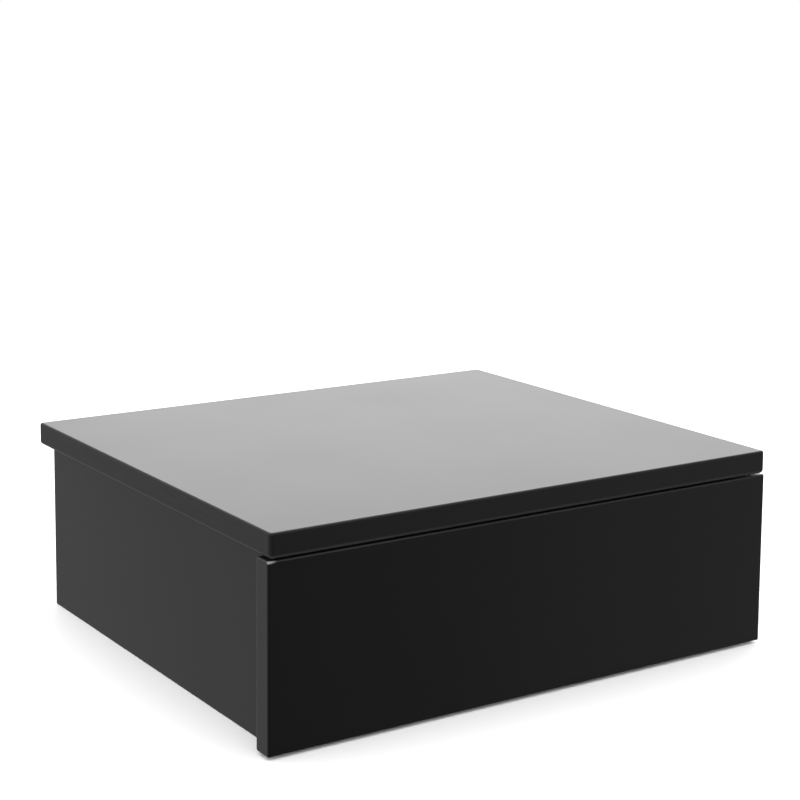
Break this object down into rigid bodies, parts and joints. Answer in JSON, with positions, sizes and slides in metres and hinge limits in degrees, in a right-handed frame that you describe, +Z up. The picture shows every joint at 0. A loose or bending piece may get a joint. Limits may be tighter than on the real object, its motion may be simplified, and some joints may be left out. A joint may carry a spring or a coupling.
{
  "type": "wall-hung bedside drawer unit",
  "caption": "Wall-hung bedside unit in satin black lacquer: a thin top slab over one handle-less drawer that runs on roller runners, with screw holes in the back for the wall.",
  "frame": {"origin": "middle of the footprint, at the lower edge of the side panels, drawer closed", "axes": "+X to the right seen from the front, +Y towards the wall, +Z up; the drawer front faces -Y"},
  "size_m": [0.37, 0.32, 0.13],
  "materials": {
    "black_lacquer": "satin black lacquer on fibreboard, almost no texture",
    "black_hardboard": "matt black-faced hardboard",
    "dark_foil_board": "smooth dark grey foil on board",
    "coated_rail_steel": "black powder-coated sheet steel",
    "roller_nylon": "natural white nylon",
    "zinc_steel": "zinc-plated steel",
    "screw_steel": "bright zinc-plated screw steel",
    "cam_zinc": "die-cast zinc, tumbled grey",
    "beech_dowel": "dry beech with fine grain",
    "clear_bumper": "soft translucent bumper"
  },
  "bodies": {
    "cabinet": {"top_panel": "black_lacquer", "left_side_panel": "black_lacquer", "right_side_panel": "black_lacquer", "back_panel": "black_lacquer", "bottom_panel": "black_hardboard", "wall_plates": "zinc_steel", "wall_plate_screws": "screw_steel", "top_cam_locks": "cam_zinc", "top_cam_bolts": "screw_steel", "back_cam_locks": "cam_zinc", "back_cam_bolts": "screw_steel", "top_dowels": "beech_dowel", "back_dowels": "beech_dowel", "closing_bumpers": "clear_bumper", "left_cabinet_rail": "coated_rail_steel", "right_cabinet_rail": "coated_rail_steel", "cabinet_rail_screws": "screw_steel", "left_cabinet_roller_pin": "zinc_steel", "right_cabinet_roller_pin": "zinc_steel"},
    "drawer": {"drawer_front": "black_lacquer", "left_drawer_side": "dark_foil_board", "right_drawer_side": "dark_foil_board", "drawer_back": "dark_foil_board", "drawer_bottom": "black_hardboard", "left_drawer_rail": "coated_rail_steel", "right_drawer_rail": "coated_rail_steel", "drawer_rail_screws": "screw_steel", "drawer_cam_locks": "cam_zinc", "drawer_cam_bolts": "screw_steel", "drawer_front_dowels": "beech_dowel", "drawer_back_screws": "screw_steel", "drawer_bottom_screws": "screw_steel", "left_drawer_roller_pin": "zinc_steel", "right_drawer_roller_pin": "zinc_steel"},
    "left_cabinet_roller_body": {"left_cabinet_roller": "roller_nylon"},
    "right_cabinet_roller_body": {"right_cabinet_roller": "roller_nylon"},
    "left_drawer_roller_body": {"left_drawer_roller": "roller_nylon"},
    "right_drawer_roller_body": {"right_drawer_roller": "roller_nylon"}
  },
  "joints": [
    {"name": "drawer_slide", "type": "slide", "parent": "cabinet", "child": "drawer", "axis": [0, -1, 0], "range_m": [0, 0.19]},
    {"name": "left_cabinet_roller_spin", "type": "hinge", "parent": "cabinet", "child": "left_cabinet_roller_body", "pos_m": [-0.15255, -0.1285, 0.028], "axis": [1, 0, 0], "continuous": true},
    {"name": "left_drawer_roller_spin", "type": "hinge", "parent": "drawer", "child": "left_drawer_roller_body", "pos_m": [-0.15255, 0.0965, 0.0258], "axis": [1, 0, 0], "continuous": true},
    {"name": "right_cabinet_roller_spin", "type": "hinge", "parent": "cabinet", "child": "right_cabinet_roller_body", "pos_m": [0.15255, -0.1285, 0.028], "axis": [1, 0, 0], "continuous": true},
    {"name": "right_drawer_roller_spin", "type": "hinge", "parent": "drawer", "child": "right_drawer_roller_body", "pos_m": [0.15255, 0.0965, 0.0258], "axis": [1, 0, 0], "continuous": true}
  ],
  "couplings": [
    {"joint": "left_cabinet_roller_spin", "follows": "drawer_slide", "rad_per_m": 111.11},
    {"joint": "left_drawer_roller_spin", "follows": "drawer_slide", "rad_per_m": 117.65},
    {"joint": "right_cabinet_roller_spin", "follows": "drawer_slide", "rad_per_m": 111.11},
    {"joint": "right_drawer_roller_spin", "follows": "drawer_slide", "rad_per_m": 117.65}
  ]
}
